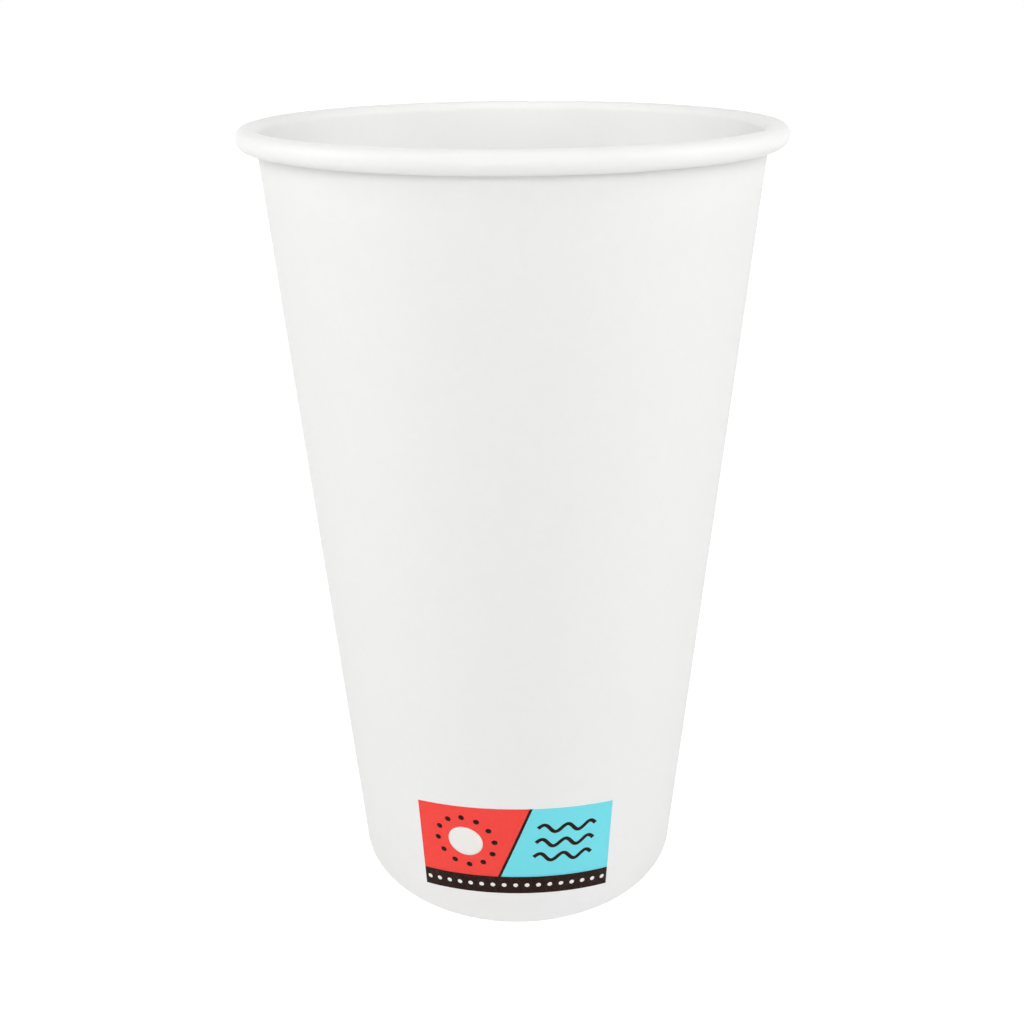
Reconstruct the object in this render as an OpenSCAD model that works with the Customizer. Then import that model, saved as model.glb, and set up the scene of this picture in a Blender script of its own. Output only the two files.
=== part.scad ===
// Paper coffee cup: a wrapped and seamed side wall with a curled rim,
// a bottom disc held in the turned-up foot, and a printed panel.
// The cup stands on Z = 0 with its axis on Z. The print faces -Y.

/* [Rim] */
// Outside diameter over the curled rim
rim_d = 90; // [80:0.5:100]
// Height from the table to the top of the rim
cup_h = 142; // [115:1:170]
// Diameter of the rim's curl
roll_d = 3.5; // [2.8:0.1:4.6]
// How far the board is curled, counted in degrees
roll_turn = 430; // [390:10:450]

/* [Wall] */
// Outside diameter of the wall at the table
foot_d = 64; // [56:0.5:70]
// Thickness of the wall's paperboard
board_t = 0.4; // [0.3:0.02:0.5]
// Film of melted coating that seals two layers of board
seal_t = 0.03; // [0.02:0.01:0.06]

/* [Side seam] */
// Width of the lap where the blank's two edges are sealed
lap_w = 6; // [4:0.5:10]
// Turn of the lap's cut edge round the axis, counted from +X
lap_at = -3; // [-20:1:60]
// Extra radius of the rim's curl where the board is double
lap_roll_t = 0.15; // [0.1:0.05:0.3]

/* [Foot] */
// Height of the bottom disc's upper face above the table
disc_z = 9; // [6:0.5:14]
// Height to which the wall's edge is turned up inside the skirt
hem_h = 6.4; // [4:0.2:8]
// Radius of the creased corners of the foot
foot_r = 0.42; // [0.3:0.02:0.5]

/* [Bottom disc] */
// Thickness of the disc's paperboard
disc_t = 0.36; // [0.28:0.02:0.5]
// Inside radius of the bend between the disc and its skirt
disc_bend_r = 0.6; // [0.3:0.1:1.5]

/* [Print] */
// Turn of the printed panel's middle from the cup's front
print_at = -1; // [-20:0.5:20]
// Angle of the wall that the panel covers
print_span = 63.5; // [40:0.5:90]
// Height of the panel's lower edge at its middle
print_z = 7.6; // [4:0.2:20]
// Height of the two colour fields
field_h = 16.3; // [10:0.1:24]
// Height of the dark strip under the fields
strip_h = 4.1; // [2.5:0.1:6]
// Tilt of the planes that the panel's long edges lie in
print_tilt = 20; // [0:1:25]
// Slope of the line between the two fields, from upright
divide_slope = 20; // [0:1:35]
// Width of that line
divide_w = 0.5; // [0.2:0.1:1.2]
// Thickness of one coat of ink
ink_t = 0.06; // [0.04:0.01:0.12]
// Diameter of the plain disc on the red field
sun_d = 6.6; // [4:0.1:9]
// Diameter of the ring of dots round the disc
sun_ring_d = 11; // [9.5:0.1:13]
// Diameter of each dot in the ring
sun_dot_d = 1.1; // [0.6:0.1:1.6]
// Number of dots in the ring
sun_dots = 12; // [6:1:18]
// Number of wavy lines on the blue field
waves = 3; // [1:1:4]
// Distance from one wavy line to the next
wave_pitch = 3.4; // [2.4:0.1:4]
// Length of one wave
wave_l = 4.4; // [3:0.1:7]
// Height of a wave's crest over its middle
wave_a = 0.8; // [0.3:0.1:1]
// Width of the wavy lines
wave_w = 0.75; // [0.4:0.05:1]
// Number of dots along the strip
strip_dots = 17; // [5:1:20]
// Diameter of the dots along the strip
strip_dot_d = 0.9; // [0.5:0.1:1.4]

/* [Hidden] */
$fn = 180;
paper_white = "#F1F1F1";
cut = 1;

// Middle of the curl, and the radius of the board's middle line there
curl_r = (roll_d - board_t) / 2;
curl_x = (rim_d - roll_d) / 2;
curl_z = cup_h - roll_d / 2;

// The wall's middle line starts at wall_x on the table and touches the curl
wall_x = (foot_d - board_t) / 2;
curl_far = norm([curl_x - wall_x, curl_z]);
lean = atan2(curl_x - wall_x, curl_z) - asin(curl_r / curl_far);

// Radius of a face that lies in the wall's direction, at a height and at a
// distance inside (-) or outside (+) the wall's middle line
function face(z, off) = wall_x + z * tan(lean) + off / cos(lean);
wall_out = board_t / 2;
wall_in = -board_t / 2;
skirt_out = wall_in - seal_t;
skirt_in = skirt_out - disc_t;
hem_out = skirt_in - seal_t;
hem_in = hem_out - board_t;

// Points of an arc about c, with radius r, from angle a to angle b
function arc(c, r, a, b, n) =
    [for (i = [0 : n]) let (t = a + (b - a) * i / n) c + r * [cos(t), sin(t)]];

// The curl starts along the wall, turns over the rim and tucks its edge
// inside itself by the thickness of the board
curl_steps = 42;
tuck = board_t + 0.05;
tuck_from = 240;
tuck_to = 345;
function ease(s) = s * s * (3 - 2 * s);
function tucked(a) = tuck * ease(min(1, max(0, (a - tuck_from) / (tuck_to - tuck_from))));
function curl(off) = [for (i = [0 : curl_steps])
    let (a = lean + (roll_turn - lean) * i / curl_steps, r = curl_r + off - tucked(a))
    [curl_x - r * cos(a), curl_z + r * sin(a)]];
function reversed(list) = [for (i = [len(list) - 1 : -1 : 0]) list[i]];

// Corner of the foot that touches the table and a face off the middle line
function foot_c(off, side) =
    [face(foot_r, off) + side * foot_r / cos(lean), foot_r];

module wall_section() {
    polygon(concat(
        [[face(hem_h, hem_in), hem_h]],
        arc(foot_c(hem_in, 1), foot_r, 180 - lean, 270, 5),
        arc(foot_c(wall_out, -1), foot_r, 270, 360 - lean, 5),
        curl(-board_t / 2),
        reversed(curl(board_t / 2)),
        [[face(board_t, wall_in), board_t],
         [face(board_t, hem_out), board_t],
         [face(hem_h, hem_out), hem_h]]));
}

// The outer end of the blank lies over the inner end for lap_angle. Past the
// inner end's edge it comes back to the wall along a flat, within lap_rise.
lap_angle = lap_w / face(cup_h / 2, wall_out) * 180 / PI;
lap_rise = acos(face(0, wall_out) / (face(0, wall_out) + board_t)) * 1.15;
lap_sink = board_t / 4;
// The lap stops just under the thicker stretch of the curl
lap_top = cup_h - roll_d - 2 * lap_roll_t - 2 * seal_t;

// Everything on the axis's side of a flat that meets the face at off where
// the outer end comes back to the wall
module inside_flat(off) {
    rotate([0, 0, lap_at + lap_angle + lap_rise]) translate([face(0, off), 0, 0])
        rotate([0, lean, 0]) translate([-rim_d, -rim_d, -cup_h])
        cube([rim_d, 2 * rim_d, 3 * cup_h]);
}

// A stretch of wall between two faces and two heights
module wall_sector(from, angle, off0, off1, z0, z1) {
    rotate([0, 0, from]) rotate_extrude(angle = angle)
        polygon([[face(z0, off0), z0], [face(z0, off1), z0], [face(z1, off1), z1], [face(z1, off0), z1]]);
}

module lap() {
    intersection() {
        wall_sector(lap_at, lap_angle + lap_rise + cut, wall_out - lap_sink, wall_out + board_t,
            foot_r, lap_top);
        inside_flat(wall_out - lap_sink / 2);
    }
}

// The thin wedge inside the cup between the inner end's edge and the flat
module lap_groove() {
    intersection() {
        wall_sector(lap_at + lap_angle, lap_rise + cut, wall_in - cut, wall_out,
            disc_z, lap_top - board_t);
        inside_flat(wall_in - lap_sink / 2);
    }
}

module lap_curl() {
    rotate([0, 0, lap_at]) rotate_extrude(angle = lap_angle)
        translate([curl_x, curl_z - lap_roll_t - seal_t])
        circle(r = roll_d / 2 + lap_roll_t);
}

module sidewall() {
    color(paper_white) difference() {
        union() {
            rotate_extrude() wall_section();
            lap();
            lap_curl();
        }
        lap_groove();
    }
}

// The disc's skirt hangs down into the fold of the foot
disc_bend_out = disc_bend_r + disc_t;
bend_z = disc_z - disc_bend_out;
bend_c = [face(bend_z, skirt_out) - disc_bend_out / cos(lean), bend_z];
skirt_z = board_t + seal_t;

module bottom_disc() {
    color(paper_white) rotate_extrude() polygon(concat(
        [[0, disc_z]],
        arc(bend_c, disc_bend_out, 90, -lean, 6),
        [[face(skirt_z, skirt_out), skirt_z], [face(skirt_z, skirt_in), skirt_z]],
        arc(bend_c, disc_bend_r, -lean, 90, 6),
        [[0, disc_z - disc_t]]));
}

// Heights on the wall at the middle of the panel
strip_top = print_z + strip_h;
print_top = strip_top + field_h;
field_mid = strip_top + field_h / 2;

// A coat of ink on the wall, as wide as the panel: coat 0 lies on the board
// and coat 1 on coat 0
module coat(layer) {
    from = wall_out + layer * ink_t;
    wall_sector(print_at - 90 - print_span / 2, print_span, from, from + ink_t,
        print_z - strip_h, print_top + strip_h);
}

// Everything under a tilted plane that meets the wall's front at height z
module under(z) {
    rotate([0, 0, print_at]) translate([0, -face(z, wall_out), z]) rotate([-print_tilt, 0, 0])
        translate([-rim_d, -rim_d, -2 * rim_d]) cube(2 * rim_d);
}

// The space between two such planes
module band(z0, z1) {
    difference() {
        under(z1);
        under(z0);
    }
}

// Everything on the right of the sloping line between the two fields, moved
// right by off
module right_of(off) {
    rotate([0, 0, print_at]) translate([0, -rim_d, field_mid]) rotate([0, divide_slope, 0])
        translate([off, 0, -rim_d]) cube([rim_d, rim_d, 2 * rim_d]);
}

// Height of the plane of under(z) on the wall, at a turn from the panel's middle
function bowed(z, turn) =
    (z - tan(print_tilt) * (face(z, wall_out) - face(0, wall_out) * cos(turn)))
    / (1 - tan(print_tilt) * tan(lean) * cos(turn));

// Puts a flat shape, drawn about the origin, on the panel at a turn from its
// middle and level with the height z there
module on_panel(turn, z) {
    rotate([0, 0, print_at + turn]) translate([0, -face(0, wall_out) / 2, bowed(z, turn)])
        rotate([90, 0, 0]) linear_extrude(height = rim_d)
        rotate(-atan(tan(print_tilt) * sin(turn))) children();
}

// Turn of the middle of each field from the panel's middle
field_turn = print_span / 4;

// Points beside a cosine wave, off to one side of it by off
wave_half = wave_l * 1.25;
wave_steps = 40;
function beside_wave(off) = [for (i = [0 : wave_steps])
    let (x = wave_half * (2 * i / wave_steps - 1),
        rise = -wave_a * 2 * PI / wave_l * sin(360 * x / wave_l))
    [x, wave_a * cos(360 * x / wave_l)] + off * [-rise, 1] / norm([1, rise])];

module wave() {
    polygon(concat(beside_wave(wave_w / 2), reversed(beside_wave(-wave_w / 2))));
}

module sun_shapes() {
    on_panel(-field_turn, field_mid) circle(d = sun_d);
}

module sun_dot_shapes() {
    on_panel(-field_turn, field_mid) for (i = [0 : sun_dots - 1])
        rotate(360 * i / sun_dots) translate([sun_ring_d / 2, 0]) circle(d = sun_dot_d, $fn = 32);
}

module wave_shapes() {
    on_panel(field_turn, field_mid) for (i = [0 : waves - 1])
        translate([0, (i - (waves - 1) / 2) * wave_pitch]) wave();
}

module strip_dot_shapes() {
    for (i = [0 : strip_dots - 1])
        on_panel(print_span * ((i + 0.5) / strip_dots - 0.5), print_z + strip_h / 2)
            circle(d = strip_dot_d, $fn = 32);
}

// The first coat over both fields
module field_coat() {
    intersection() {
        coat(0);
        band(strip_top, print_top);
    }
}

module red_ink() {
    color("#F94C46") difference() {
        field_coat();
        right_of(-divide_w / 2);
    }
}

module blue_ink() {
    color("#78DCE8") intersection() {
        field_coat();
        right_of(divide_w / 2);
    }
}

module dark_ink() {
    color("#20150F") union() {
        intersection() {
            coat(0);
            band(print_z, strip_top);
        }
        difference() {
            intersection() {
                field_coat();
                right_of(-divide_w / 2);
            }
            right_of(divide_w / 2);
        }
        intersection() {
            coat(1);
            union() {
                wave_shapes();
                sun_dot_shapes();
            }
        }
    }
}

module white_ink() {
    color("#F4F2EE") intersection() {
        coat(1);
        union() {
            sun_shapes();
            strip_dot_shapes();
        }
    }
}

sidewall();
bottom_disc();
red_ink();
blue_ink();
dark_ink();
white_ink();
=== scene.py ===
"""Paper coffee cup for hot drinks. Lengths are in metres, Z is up and the print faces -Y."""
import math

import bmesh
import bpy
import numpy as np
from mathutils import Matrix, Vector


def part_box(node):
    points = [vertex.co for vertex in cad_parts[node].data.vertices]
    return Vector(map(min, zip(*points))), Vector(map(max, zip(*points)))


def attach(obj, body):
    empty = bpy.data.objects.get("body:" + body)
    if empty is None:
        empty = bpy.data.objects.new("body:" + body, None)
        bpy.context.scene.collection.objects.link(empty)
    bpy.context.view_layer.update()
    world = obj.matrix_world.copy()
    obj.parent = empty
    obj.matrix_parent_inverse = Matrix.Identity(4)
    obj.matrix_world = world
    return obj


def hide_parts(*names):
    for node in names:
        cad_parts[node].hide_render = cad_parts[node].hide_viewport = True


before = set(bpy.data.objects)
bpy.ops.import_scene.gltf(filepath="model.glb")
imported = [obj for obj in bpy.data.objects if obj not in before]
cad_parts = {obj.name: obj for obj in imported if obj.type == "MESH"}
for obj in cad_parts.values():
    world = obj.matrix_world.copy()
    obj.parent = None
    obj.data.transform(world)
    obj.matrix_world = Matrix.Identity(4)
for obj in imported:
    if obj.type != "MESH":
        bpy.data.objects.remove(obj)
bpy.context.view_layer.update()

MM = 0.001

# Camera
# The photograph was taken from close by with a wide lens that looks down on the
# cup. Its place and lens come from the cup's outline, as seen on 1024 pixels.
IMAGE_PX = 1024
FOCUS_PX = 1149.2
AXIS_RIGHT_PX = 3.7
CAMERA_BACK = 200.5 * MM
CAMERA_UP = 158.84 * MM
CAMERA_PITCH = math.radians(23.65)
CAMERA_ROLL = -0.0081

camera = bpy.data.cameras.new("camera")
camera.sensor_width = 36
camera.lens = camera.sensor_width * FOCUS_PX / IMAGE_PX
camera.shift_x = -AXIS_RIGHT_PX / IMAGE_PX
camera.clip_start = 10 * MM
camera_object = bpy.data.objects.new("camera", camera)
camera_object.matrix_world = (Matrix.Translation((0, -CAMERA_BACK, CAMERA_UP))
                              @ Matrix.Rotation(math.pi / 2 - CAMERA_PITCH, 4, "X")
                              @ Matrix.Rotation(CAMERA_ROLL, 4, "Z"))
bpy.context.scene.collection.objects.link(camera_object)
bpy.context.scene.camera = camera_object

# Side wall
# One fan-shaped blank of bleached paperboard, lined inside with polyethylene. It
# is wrapped into a taper and heat-sealed along a lap, its top edge is curled
# outward so that the lined face shows on the rim, and its foot is turned inward.
RIM_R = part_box("sidewall")[1].x
CUP_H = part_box("sidewall")[1].z
ROLL_D = 3.5 * MM
ROLL_TURN = math.radians(430)
FOOT_D = 64 * MM
BOARD_T = 0.4 * MM
SEAL_T = 0.03 * MM
LAP_W = 6 * MM
LAP_AT = math.radians(-3)
LAP_ROLL_T = 0.15 * MM
DISC_Z = 9 * MM
DISC_T = 0.36 * MM
HEM_H = 6.4 * MM
FOOT_R = 0.42 * MM

CURL_R = (ROLL_D - BOARD_T) / 2
CURL_X = RIM_R - ROLL_D / 2
CURL_Z = CUP_H - ROLL_D / 2
WALL_X = (FOOT_D - BOARD_T) / 2
LEAN = (math.atan2(CURL_X - WALL_X, CURL_Z)
        - math.asin(CURL_R / math.hypot(CURL_X - WALL_X, CURL_Z)))
WALL_OUT = BOARD_T / 2
WALL_IN = -BOARD_T / 2
HEM_OUT = WALL_IN - 2 * SEAL_T - DISC_T
HEM_IN = HEM_OUT - BOARD_T


def face(z, off):
    """Radius of a face that runs along the wall: the middle line's radius on the table,
    plus the height times the lean's tangent, plus off over the lean's cosine."""
    return WALL_X + z * math.tan(LEAN) + off / math.cos(LEAN)


def line(off, z0, z1, count):
    """Points of the face at off from height z0 to height z1, as columns of radius and height.
    They crowd towards both ends, as half a cosine does, so that shading turns in a short way."""
    z = z0 + (z1 - z0) * (1 - np.cos(np.linspace(0, math.pi, count))) / 2
    return np.stack([face(z, off), z], axis=1)


def arc(centre_r, centre_z, radius, angle0, angle1, count):
    """Points of an arc: the centre plus the radius times the cosine and the sine."""
    angle = np.linspace(angle0, angle1, count)
    return np.stack([centre_r + radius * np.cos(angle), centre_z + radius * np.sin(angle)], axis=1)


CURL_GAP = 0.05 * MM
TUCK = BOARD_T + CURL_GAP
TUCK_FROM = math.radians(240)
TUCK_TO = math.radians(345)


def curl(off, count):
    """The curled edge: a circle that starts along the wall and turns over the rim. Between two
    angles its radius eases down by the tuck, so that the edge lies inside the curl."""
    angle = np.linspace(LEAN, ROLL_TURN, count)
    share = np.clip((angle - TUCK_FROM) / (TUCK_TO - TUCK_FROM), 0, 1)
    radius = CURL_R + off - TUCK * share**2 * (3 - 2 * share)
    return np.stack([CURL_X - radius * np.cos(angle), CURL_Z + radius * np.sin(angle)], axis=1)


WELD = 0.0001 * MM
SHARP_FROM = math.radians(35)


def add_piece(name, grids, materials, kinds=None):
    """Makes one object of grids, each given as points[row, column] and whether its rows and its
    columns close on themselves. Each face joins a point to the next one along its row, then to
    the next row, so it faces outwards where columns run round Z and rows climb. kinds holds the
    number of each face's material. Points in one place become one point, and an edge is sharp
    where the surface turns by more than SHARP_FROM."""
    places, corners, first = [], [], 0
    for points, closed_rows, closed_columns in grids:
        rows, columns = points.shape[:2]
        i = np.arange(rows if closed_rows else rows - 1)[:, None]
        j = np.arange(columns if closed_columns else columns - 1)[None, :]
        next_i = (i + 1) % rows
        next_j = (j + 1) % columns
        quads = np.stack([i * columns + j, i * columns + next_j,
                          next_i * columns + next_j, next_i * columns + j], axis=-1)
        places.append(points.reshape(-1, 3))
        corners.append(quads.reshape(-1, 4) + first)
        first += rows * columns
    places = np.concatenate(places)
    corners = np.concatenate(corners)
    mesh = bpy.data.meshes.new(name)
    mesh.vertices.add(len(places))
    mesh.vertices.foreach_set("co", places.astype(np.float32).ravel())
    mesh.loops.add(corners.size)
    mesh.loops.foreach_set("vertex_index", corners.astype(np.int32).ravel())
    mesh.polygons.add(len(corners))
    mesh.polygons.foreach_set("loop_start", np.arange(0, corners.size, 4, dtype=np.int32))
    mesh.update(calc_edges=True)
    mesh.polygons.foreach_set("use_smooth", np.ones(len(corners), bool))
    for material in materials:
        mesh.materials.append(material)
    if kinds is not None:
        mesh.polygons.foreach_set("material_index", kinds.astype(np.int32).ravel())
    welded = bmesh.new()
    welded.from_mesh(mesh)
    bmesh.ops.remove_doubles(welded, verts=welded.verts, dist=WELD)
    welded.to_mesh(mesh)
    welded.free()
    mesh.set_sharp_from_angle(angle=SHARP_FROM)
    piece = bpy.data.objects.new(name, mesh)
    bpy.context.scene.collection.objects.link(piece)
    return piece


HEM_ROWS = 11
LEDGE_H = 0.02 * MM
STRAIGHT_TOP = CURL_Z - 0.5 * MM


def sections():
    """The blank's cut section as a closed line of radius and height. For each point it also gives
    how far the lap moves it outwards, how far the lap swells it away from the curl's middle, how
    far the groove behind the inner end moves it outwards, and whether it is on the lined face."""
    corner = math.pi / 2
    parts = [
        # points, lap, swell, groove, lined
        (line(HEM_IN, HEM_H, FOOT_R, HEM_ROWS + 1), 0, 0, 0, 0),
        (arc(face(FOOT_R, HEM_IN) + FOOT_R / math.cos(LEAN), FOOT_R, FOOT_R,
             2 * corner - LEAN, 3 * corner, 6)[1:], 0, 0, 0, 0),
        (arc(face(FOOT_R, WALL_OUT) - FOOT_R / math.cos(LEAN), FOOT_R, FOOT_R,
             3 * corner, 4 * corner - LEAN, 6), 1, 0, 0, 0),
        (line(WALL_OUT, FOOT_R, LAP_TOP, 30)[1:], 1, 0, 0, 0),
        (line(WALL_OUT, LAP_TOP + LEDGE_H, STRAIGHT_TOP, 8), 0, 0, 0, 0),
        (curl(-BOARD_T / 2, 40), 0, 0, 0, 0),
        (curl(BOARD_T / 2, 56)[::-1], 0, 1, 0, 1),
        (line(WALL_IN, STRAIGHT_TOP, GROOVE_TOP + LEDGE_H, 8), 0, 0, 0, 1),
        (line(WALL_IN, GROOVE_TOP, DISC_Z, 30), 0, 0, 1, 1),
        (line(WALL_IN, DISC_Z - LEDGE_H, BOARD_T, 6), 0, 0, 0, 1),
        (line(HEM_OUT, BOARD_T, HEM_H, 6), 0, 0, 0, 1),
    ]
    points = np.concatenate([part[0] for part in parts])
    flags = [np.concatenate([np.full(len(part[0]), part[k], float) for part in parts])
             for k in range(1, 5)]
    return (points, *flags)


CUT_W = 0.18 * MM
LAP_ANGLE = LAP_W / face(CUP_H / 2, WALL_OUT)
RISE_SPARE = 1.15
LAP_RISE = RISE_SPARE * math.acos(face(0, WALL_OUT) / (face(0, WALL_OUT) + BOARD_T))
LAP_TOP = CUP_H - ROLL_D - 2 * LAP_ROLL_T - 2 * SEAL_T
GROOVE_TOP = LAP_TOP - BOARD_T
LAP_COLUMNS = 10
FLAT_COLUMNS = 14
WALL_COLUMNS = 400


def wrapped_blank():
    """Carries the section round the axis. Over the lap the outer face stands off by one board,
    less at its sheared edge. Past the inner end the board returns along a flat, whose stand-off
    is the radius times one over the cosine, less one, of the turn that is left, and the inner
    face follows it."""
    section, lap, swell, groove, lined = sections()
    cut_angle = CUT_W / face(CUP_H / 2, WALL_OUT)
    over = np.append(0, np.linspace(cut_angle, LAP_ANGLE, LAP_COLUMNS))
    flat = np.linspace(LAP_ANGLE, LAP_ANGLE + LAP_RISE, FLAT_COLUMNS)
    plain = np.linspace(LAP_ANGLE + LAP_RISE, 2 * math.pi, WALL_COLUMNS)[1:]
    turn = np.concatenate([over, flat, plain])
    left = np.clip(LAP_ANGLE + LAP_RISE - turn, 0, None)
    radius, height = section[:, :1], section[:, 1:]
    stand_off = np.minimum(face(height, WALL_OUT) * (1 / np.cos(left) - 1)[None, :], BOARD_T)
    stand_off[:, 0] -= CUT_W / 2
    past_end = (np.arange(len(turn)) >= len(over))[None, :]
    swollen = swell[:, None] * stand_off / BOARD_T * LAP_ROLL_T
    away = np.arctan2(height - CURL_Z, radius - CURL_X)
    r = radius + (lap[:, None] + groove[:, None] * past_end) * stand_off + swollen * np.cos(away)
    z = height + swollen * (np.sin(away) - 1 - SEAL_T / LAP_ROLL_T)
    angle = LAP_AT + turn[None, :]
    points = np.stack([r * np.cos(angle), r * np.sin(angle), z], axis=-1)
    cut_rows = np.flatnonzero(lap + groove)
    cut_columns = [0, len(over) - 1, len(turn) - 1]
    return points, lined, np.ix_(cut_rows, cut_columns)


def colour(code):
    """Linear colour of an sRGB hex code: each part over 255, then the sRGB curve undone."""
    parts = [int(code[k:k + 2], 16) / 255 for k in (1, 3, 5)]
    return (*[p / 12.92 if p <= 0.04045 else ((p + 0.055) / 1.055)**2.4 for p in parts], 1.0)


def add(tree, kind, inputs, **settings):
    """Adds a node, sets its properties, and links or sets its inputs by name or number."""
    node = tree.nodes.new(kind)
    for name, value in settings.items():
        setattr(node, name, value)
    for key, value in inputs.items():
        if isinstance(value, bpy.types.NodeSocket):
            tree.links.new(value, node.inputs[key])
        else:
            node.inputs[key].default_value = value
    return node


BOARD_IOR = 1.5
RIDGE_SHARE = 2.5
HEM_RIDGES = 110


def board_material(name, light, dark, roughness, cloud, fibre, relief, ridges=0):
    """A sheet of board: two close whites mixed by its cloudiness, with bump from its clouds and
    from its fibres. cloud and fibre are the sizes of the patches, relief is their height. ridges
    is how many upright ridges are rolled into it round the cup, as a sine of the turn, each
    RIDGE_SHARE times as high as the fibres."""
    material = bpy.data.materials.new(name)
    material.use_nodes = True
    tree = material.node_tree
    shader = tree.nodes["Principled BSDF"]
    place = add(tree, "ShaderNodeTexCoord", {}).outputs["Object"]
    clouds = add(tree, "ShaderNodeTexNoise", {"Vector": place, "Scale": 1 / cloud, "Detail": 3.0})
    fibres = add(tree, "ShaderNodeTexNoise", {"Vector": place, "Scale": 1 / fibre, "Detail": 4.0})
    tint = add(tree, "ShaderNodeMix", {0: clouds.outputs["Fac"], 6: colour(dark), 7: colour(light)},
               data_type="RGBA")
    height = add(tree, "ShaderNodeMath", {0: clouds.outputs["Fac"], 1: fibres.outputs["Fac"]},
                 operation="ADD")
    if ridges:
        turn = add(tree, "ShaderNodeTexGradient", {"Vector": place}, gradient_type="RADIAL")
        phase = add(tree, "ShaderNodeMath", {0: turn.outputs["Fac"], 1: 2 * math.pi * ridges},
                    operation="MULTIPLY")
        ridge = add(tree, "ShaderNodeMath", {0: phase.outputs[0]}, operation="SINE")
        height = add(tree, "ShaderNodeMath",
                     {0: ridge.outputs[0], 1: RIDGE_SHARE, 2: height.outputs[0]},
                     operation="MULTIPLY_ADD")
    bump = add(tree, "ShaderNodeBump", {"Height": height.outputs[0], "Distance": relief})
    tree.links.new(tint.outputs[2], shader.inputs["Base Color"])
    tree.links.new(bump.outputs["Normal"], shader.inputs["Normal"])
    shader.inputs["Roughness"].default_value = roughness
    shader.inputs["IOR"].default_value = BOARD_IOR
    return material


# Uncoated bleached board, matt, with faint clouds of fibre about 1.5 mm across.
bare_board = board_material("bleached_board", "#F1F1F0", "#EEEEED", 0.62,
                            1.5 * MM, 0.3 * MM, 0.02 * MM)
# The same board under a film of polyethylene, with a soft sheen and an orange peel. Its two whites
# are a little lighter than the bare board's: painted light that brightens the inside and the rim as
# light bounced about inside the cup would.
lined_board_painted_bounce = board_material("polyethylene_lined_board_painted_bounce", "#F5F5F4", "#F2F2F1", 0.48,
                             1.2 * MM, 0.5 * MM, 0.012 * MM)
# The cut edge of the board, a little warmer and rougher than its faces.
cut_board = board_material("cut_board_edge", "#EBE7DE", "#E0DBD0", 0.8,
                           0.4 * MM, 0.15 * MM, 0.03 * MM)
# The outer board again where it is pressed against the skirt inside the foot.
knurled_board = board_material("knurled_hem", "#F1F1F0", "#EEEEED", 0.62,
                               1.5 * MM, 0.3 * MM, 0.03 * MM, ridges=HEM_RIDGES)

# A row of faces is lined where both its edges are, and cut where only one of them is.
BARE, LINED, CUT, KNURLED = range(4)
points, lined, cut_faces = wrapped_blank()
row_kind = np.where(lined + np.roll(lined, -1) > 1, LINED, BARE)
row_kind[lined != np.roll(lined, -1)] = CUT
row_kind[:HEM_ROWS] = KNURLED
kinds = np.repeat(row_kind[:, None], points.shape[1], axis=1)
kinds[cut_faces] = CUT
sidewall = add_piece("side_wall", [(points, True, True)],
                     [bare_board, lined_board_painted_bounce, cut_board, knurled_board], kinds)
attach(sidewall, "root")
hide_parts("sidewall")

# Bottom disc
# A round blank of the same lined board with its edge bent down into a skirt, which
# the side wall's foot grips and seals. Its lined face is up, towards the drink.
DISC_BEND_R = 0.6 * MM
SKIRT_OUT = WALL_IN - SEAL_T
SKIRT_IN = SKIRT_OUT - DISC_T
DISC_COLUMNS = 256


def disc_blank():
    """Carries the disc's section round the axis: across under it, round the bend, down the skirt's
    inside, up its outside, round the bend and back across the top. The bend's middle is one outer
    radius from the top and from the skirt."""
    outer = DISC_BEND_R + DISC_T
    z = DISC_Z - outer
    r = face(z, SKIRT_OUT) - outer / math.cos(LEAN)
    skirt_z = BOARD_T + SEAL_T
    quarter = math.pi / 2
    across = np.linspace(0, 1, 30)[:, None]
    top = np.concatenate([across * r, across * 0 + DISC_Z], axis=1)
    under = np.concatenate([across * r, across * 0 + DISC_Z - DISC_T], axis=1)
    section = np.concatenate([
        under,
        arc(r, z, DISC_BEND_R, quarter, -LEAN, 8)[1:],
        line(SKIRT_IN, z, skirt_z, 6)[1:],
        line(SKIRT_OUT, skirt_z, z, 6),
        arc(r, z, outer, -LEAN, quarter, 8)[1:],
        top[::-1][1:]])
    turn = np.linspace(0, 2 * math.pi, DISC_COLUMNS, endpoint=False)[None, :]
    r, z = section[:, :1], section[:, 1:]
    return np.stack([r * np.cos(turn), r * np.sin(turn), z + 0 * turn], axis=-1)


points = disc_blank()
half = points.shape[0] // 2
kinds = np.repeat((np.arange(points.shape[0] - 1) > half)[:, None], points.shape[1], axis=1)
bottom_disc = add_piece("bottom_disc_board", [(points, False, True)],
                        [bare_board, lined_board_painted_bounce], kinds)
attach(bottom_disc, "root")
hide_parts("bottom_disc")

# Red ink
# The panel is printed on the flat blank before it is wrapped, in thin satin inks. The
# red field is its left part, up to the sloping dark line.
PRINT_AT = math.radians(-1)
PRINT_SPAN = math.radians(63.5)
PRINT_Z = 7.6 * MM
FIELD_H = 16.3 * MM
STRIP_H = 4.1 * MM
PRINT_TILT = math.radians(20)
DIVIDE_SLOPE = math.radians(20)
DIVIDE_W = 0.5 * MM
FIRST_COAT = 0.02 * MM
SECOND_COAT = 0.04 * MM
STRIP_TOP = PRINT_Z + STRIP_H
PRINT_TOP = STRIP_TOP + FIELD_H
FIELD_MID = STRIP_TOP + FIELD_H / 2
FIELD_TURN = PRINT_SPAN / 4
FIELD_ROWS = 25
FIELD_COLUMNS = 50
DIVIDE_PASSES = 4


def bowed(z, turn):
    """Height of a panel's long edge at a turn from its middle. The edge lies in a tilted plane,
    so it is z less the tilt's tangent times how much nearer to the axis the wall is there."""
    tilt = math.tan(PRINT_TILT)
    return ((z - tilt * (face(z, WALL_OUT) - face(0, WALL_OUT) * np.cos(turn)))
            / (1 - tilt * math.tan(LEAN) * np.cos(turn)))


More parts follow.
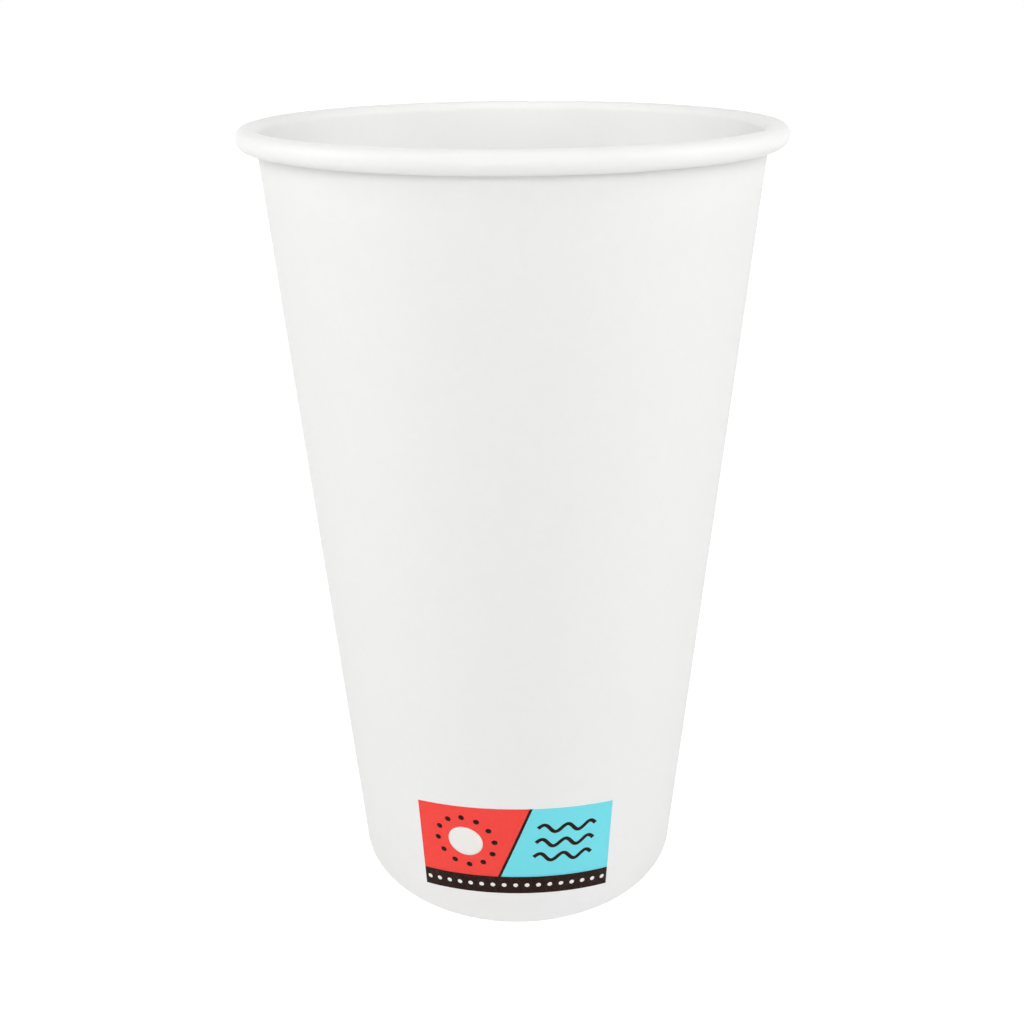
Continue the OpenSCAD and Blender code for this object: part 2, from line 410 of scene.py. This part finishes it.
def on_wall(turn, z, coat):
    """Points on top of a coat of ink, at a turn from the panel's middle and a height."""
    angle = PRINT_AT + turn - math.pi / 2
    radius = face(z, WALL_OUT + coat)
    return np.stack([radius * np.cos(angle), radius * np.sin(angle), z], axis=-1)


def between(low, high, share, turn):
    """Height at a share of the way from one long edge of the panel to another."""
    return bowed(low, turn) + share * (bowed(high, turn) - bowed(low, turn))


def divide(share, off):
    """Turn of the sloping line at a share of the fields' height, moved right by off. Its distance
    from the middle plane is the height over the fields' middle times the slope's tangent. The
    height depends a little on the turn, so both are worked out in turns until they agree."""
    turn = 0 * share
    for _ in range(DIVIDE_PASSES):
        z = between(STRIP_TOP, PRINT_TOP, share, turn)
        x = off / math.cos(DIVIDE_SLOPE) + (z - FIELD_MID) * math.tan(DIVIDE_SLOPE)
        turn = np.arcsin(x / face(z, WALL_OUT))
    return turn


def field(turn0, turn1, low, high, columns):
    """Grid of the first coat between two turns, each a column of one value per row."""
    share = np.linspace(0, 1, FIELD_ROWS)[:, None]
    turn = turn0 + (turn1 - turn0) * np.linspace(0, 1, columns)[None, :]
    return on_wall(turn, between(low, high, share, turn), FIRST_COAT), False, False


INK_FIBRE = 0.35 * MM
INK_RELIEF = 0.012 * MM
INK_DEPTH = 0.03 * MM
INK_ROUGHNESS = 0.45
INK_GLOSS = 0.04
THIN_FROM = 0.45
THIN_TO = 0.8
THINNED = 0.03


def ink_material(name, code):
    """A thin coat of dull ink on board: its colour thins a little where the board's fibres stand
    up, and the fibres show through as a faint relief."""
    material = bpy.data.materials.new(name)
    material.use_nodes = True
    tree = material.node_tree
    shader = tree.nodes["Principled BSDF"]
    place = add(tree, "ShaderNodeTexCoord", {}).outputs["Object"]
    fibres = add(tree, "ShaderNodeTexNoise",
                 {"Vector": place, "Scale": 1 / INK_FIBRE, "Detail": 4.0})
    thin = add(tree, "ShaderNodeMapRange",
               {"Value": fibres.outputs["Fac"], "From Min": THIN_FROM, "From Max": THIN_TO,
                "To Min": 0.0, "To Max": THINNED})
    tint = add(tree, "ShaderNodeMix", {0: thin.outputs[0], 6: colour(code), 7: colour("#F1F1F0")},
               data_type="RGBA")
    bump = add(tree, "ShaderNodeBump", {"Height": fibres.outputs["Fac"], "Distance": INK_RELIEF})
    tree.links.new(tint.outputs[2], shader.inputs["Base Color"])
    tree.links.new(bump.outputs["Normal"], shader.inputs["Normal"])
    shader.inputs["Roughness"].default_value = INK_ROUGHNESS
    shader.inputs["Specular IOR Level"].default_value = INK_GLOSS
    return material


def add_ink(name, grids, material, node):
    """A film of ink that shows the grids and goes down a little way into the board."""
    film = add_piece(name, grids, [material])
    depth = film.modifiers.new("depth", "SOLIDIFY")
    depth.thickness = INK_DEPTH
    depth.offset = -1
    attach(film, "root")
    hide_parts(node)


share = np.linspace(0, 1, FIELD_ROWS)[:, None]
left_end = np.full_like(share, -PRINT_SPAN / 2)
right_end = np.full_like(share, PRINT_SPAN / 2)
line_left = divide(share, -DIVIDE_W / 2)
line_right = divide(share, DIVIDE_W / 2)
red_field = field(left_end, line_left, STRIP_TOP, PRINT_TOP, FIELD_COLUMNS)
add_ink("red_field", [red_field], ink_material("red_ink", "#FA4B44"), "red_ink")

# Blue ink
# The light blue field is the panel's right part, of the same height as the red one.
blue_field = field(line_right, right_end, STRIP_TOP, PRINT_TOP, FIELD_COLUMNS)
add_ink("blue_field", [blue_field], ink_material("blue_ink", "#79E3EE"), "blue_ink")

# Dark ink
# A dark brown strip runs along the foot of both fields, and the line between them is
# of the same ink. So are the wavy lines on the blue and the ring of dots on the red.
SUN_D = 6.6 * MM
SUN_RING_D = 11 * MM
SUN_DOT_D = 1.1 * MM
SUN_DOTS = 12
WAVES = 3
WAVE_PITCH = 3.4 * MM
WAVE_L = 4.4 * MM
WAVE_SPAN = 2.5 * WAVE_L
WAVE_A = 0.8 * MM
WAVE_W = 0.75 * MM


def on_panel(x, y, turn, z):
    """Lays a flat shape on the panel, level with its edges: it is rotated by the edge's slope at
    that turn, then y goes up the wall and x goes round it, by the angle whose sine is x over the
    radius."""
    slope = -math.atan(math.tan(PRINT_TILT) * math.sin(turn))
    across = x * math.cos(slope) - y * math.sin(slope)
    up = bowed(z, turn) + x * math.sin(slope) + y * math.cos(slope)
    return on_wall(turn + np.arcsin(across / face(up, WALL_OUT)), up, SECOND_COAT), False, False


def disc(centre_x, centre_y, diameter, sides, rings):
    """Points of a disc as rings that shrink to its middle, then as angles, as arrays of x and y."""
    radius = np.linspace(diameter / 2, 0, rings)[:, None]
    angle = np.linspace(0, 2 * math.pi, sides + 1)[None, :]
    return centre_x + radius * np.cos(angle), centre_y + radius * np.sin(angle)


def wave(centre_y):
    """Points of a wavy line: a cosine of the length, and offsets along its normal."""
    along = np.linspace(-WAVE_SPAN / 2, WAVE_SPAN / 2, 81)[None, :]
    off = np.linspace(-WAVE_W / 2, WAVE_W / 2, 4)[:, None]
    phase = 2 * math.pi * along / WAVE_L
    rise = -WAVE_A * 2 * math.pi / WAVE_L * np.sin(phase)
    steep = np.hypot(1, rise)
    return along - off * rise / steep, centre_y + WAVE_A * np.cos(phase) + off / steep


dark_marks = [field(left_end, right_end, PRINT_Z, STRIP_TOP, 2 * FIELD_COLUMNS),
              field(line_left, line_right, STRIP_TOP, PRINT_TOP, 4)]
for k in range(WAVES):
    dark_marks.append(on_panel(*wave((k - (WAVES - 1) / 2) * WAVE_PITCH), FIELD_TURN, FIELD_MID))
for k in range(SUN_DOTS):
    angle = 2 * math.pi * k / SUN_DOTS
    spot = disc(SUN_RING_D / 2 * math.cos(angle), SUN_RING_D / 2 * math.sin(angle), SUN_DOT_D, 32, 3)
    dark_marks.append(on_panel(*spot, -FIELD_TURN, FIELD_MID))
add_ink("dark_strip_and_marks", dark_marks, ink_material("dark_ink", "#26130C"), "dark_ink")

# White ink
# A plain white disc sits in the ring of dots, and a row of small white dots runs
# along the middle of the dark strip.
STRIP_DOTS = 17
STRIP_DOT_D = 0.9 * MM

white_marks = [on_panel(*disc(0, 0, SUN_D, 96, 8), -FIELD_TURN, FIELD_MID)]
for k in range(STRIP_DOTS):
    turn = PRINT_SPAN * ((k + 0.5) / STRIP_DOTS - 0.5)
    white_marks.append(on_panel(*disc(0, 0, STRIP_DOT_D, 32, 3), turn, PRINT_Z + STRIP_H / 2))
add_ink("white_disc_and_dots", white_marks, ink_material("white_ink", "#F4F2EE"), "white_ink")

# Floor and backdrop
# A plain pale sheet that runs out of sight, under plain white surroundings. Only rays
# that show it see it glow, more the further it lies from the cup, so it keeps the
# cup's shadow and meets the white backdrop without an edge.
FLOOR_SIDE = 60.0
FLOOR_ROUGHNESS = 0.9
FLOOR_GLOSS = 0.1
NEAR_GLOW = 0.5
FAR_GLOW = 1.0
NEAR = 0.15
FAR = 1.5
BACKDROP = 1.0
ROOM = 0.55
BEHIND = 0.5
floor_material = bpy.data.materials.new("pale_paper_sweep")
floor_material.use_nodes = True
tree = floor_material.node_tree
shader = tree.nodes["Principled BSDF"]
shader.inputs["Base Color"].default_value = colour("#EDEDED")
shader.inputs["Roughness"].default_value = FLOOR_ROUGHNESS
shader.inputs["Specular IOR Level"].default_value = FLOOR_GLOSS


def seen_by(tree):
    """One for the rays that show a background as it is: from the camera, off gloss or through
    glass. Zero for the rays that light things."""
    rays = add(tree, "ShaderNodeLightPath", {}).outputs
    gloss = add(tree, "ShaderNodeMath", {0: rays["Is Glossy Ray"], 1: rays["Is Transmission Ray"]},
                operation="MAXIMUM")
    return add(tree, "ShaderNodeMath", {0: rays["Is Camera Ray"], 1: gloss.outputs[0]},
               operation="MAXIMUM").outputs[0]


place = add(tree, "ShaderNodeTexCoord", {}).outputs["Object"]
away = add(tree, "ShaderNodeVectorMath", {0: place}, operation="LENGTH").outputs["Value"]
level = add(tree, "ShaderNodeMapRange", {"Value": away, "From Min": NEAR, "From Max": FAR,
                                         "To Min": NEAR_GLOW, "To Max": FAR_GLOW})
white = add(tree, "ShaderNodeEmission", {"Color": colour("#FFFFFF"), "Strength": level.outputs[0]})
clear = add(tree, "ShaderNodeEmission", {"Strength": 0.0})
glow = add(tree, "ShaderNodeMixShader", {0: seen_by(tree), 1: clear.outputs[0],
                                         2: white.outputs[0]})
both = add(tree, "ShaderNodeAddShader", {0: shader.outputs[0], 1: glow.outputs[0]})
tree.links.new(both.outputs[0], tree.nodes["Material Output"].inputs["Surface"])
ends = [-FLOOR_SIDE / 2, FLOOR_SIDE / 2]
side_x, side_y = np.meshgrid(ends, ends)
floor = add_piece("floor", [(np.stack([side_x, side_y, 0 * side_x], axis=-1), False, False)],
                  [floor_material])

# The room's walls are bright, most of all behind the cup, and its ceiling is dim: the
# light from a direction is ROOM times one less the square of its height, times one
# plus BEHIND times its way back.
world = bpy.data.worlds.new("studio")
bpy.context.scene.world = world
world.use_nodes = True
tree = world.node_tree
way = add(tree, "ShaderNodeTexCoord", {}).outputs["Generated"]
parts = add(tree, "ShaderNodeSeparateXYZ", {0: way}).outputs
square = add(tree, "ShaderNodeMath", {0: parts["Z"], 1: parts["Z"]}, operation="MULTIPLY")
level = add(tree, "ShaderNodeMath", {0: square.outputs[0], 1: -ROOM, 2: ROOM},
            operation="MULTIPLY_ADD")
back = add(tree, "ShaderNodeMath", {0: parts["Y"], 1: BEHIND, 2: 1.0}, operation="MULTIPLY_ADD")
strength = add(tree, "ShaderNodeMath", {0: level.outputs[0], 1: back.outputs[0]},
               operation="MULTIPLY")
room = tree.nodes["Background"]
room.inputs["Color"].default_value = colour("#FFFFFF")
tree.links.new(strength.outputs[0], room.inputs["Strength"])
backdrop = add(tree, "ShaderNodeBackground", {"Color": colour("#FFFFFF"), "Strength": BACKDROP})
sky = add(tree, "ShaderNodeMixShader", {0: seen_by(tree), 1: room.outputs[0],
                                        2: backdrop.outputs[0]})
tree.links.new(sky.outputs[0], tree.nodes["World Output"].inputs["Surface"])


LIT_POINT = (0, 0, 0.11)


def add_softbox(name, place, width, height, power):
    """A flat lamp of so many watts that faces the cup's upper half from place."""
    lamp = bpy.data.lights.new(name, "AREA")
    lamp.shape = "RECTANGLE"
    lamp.size = width
    lamp.size_y = height
    lamp.energy = power
    holder = bpy.data.objects.new(name, lamp)
    towards = Vector(LIT_POINT) - Vector(place)
    holder.matrix_world = (Matrix.Translation(place)
                           @ towards.to_track_quat("-Z", "Y").to_matrix().to_4x4())
    holder.visible_camera = False
    bpy.context.scene.collection.objects.link(holder)
    return holder


add_softbox("softbox_left", (-0.40, -0.10, 0.33), 0.3, 0.35, 0.86)
add_softbox("softbox_right", (0.40, -0.10, 0.33), 0.3, 0.35, 0.86)
add_softbox("softbox_front", (0, -1.00, 0.45), 0.6, 0.4, 3.8)
add_softbox("softbox_front_high", (0, -0.30, 0.50), 0.5, 0.3, 0.13)
add_softbox("softbox_top", (0, 0, 0.75), 0.25, 0.25, 0.40)
# The lamp behind only keeps the back from going grey, and gives no highlight on the rim.
softbox_back = add_softbox("softbox_back", (0, 1.00, 0.25), 0.6, 0.4, 2.2)
softbox_back.visible_glossy = False

view = bpy.context.scene.view_settings
view.view_transform = "Standard"
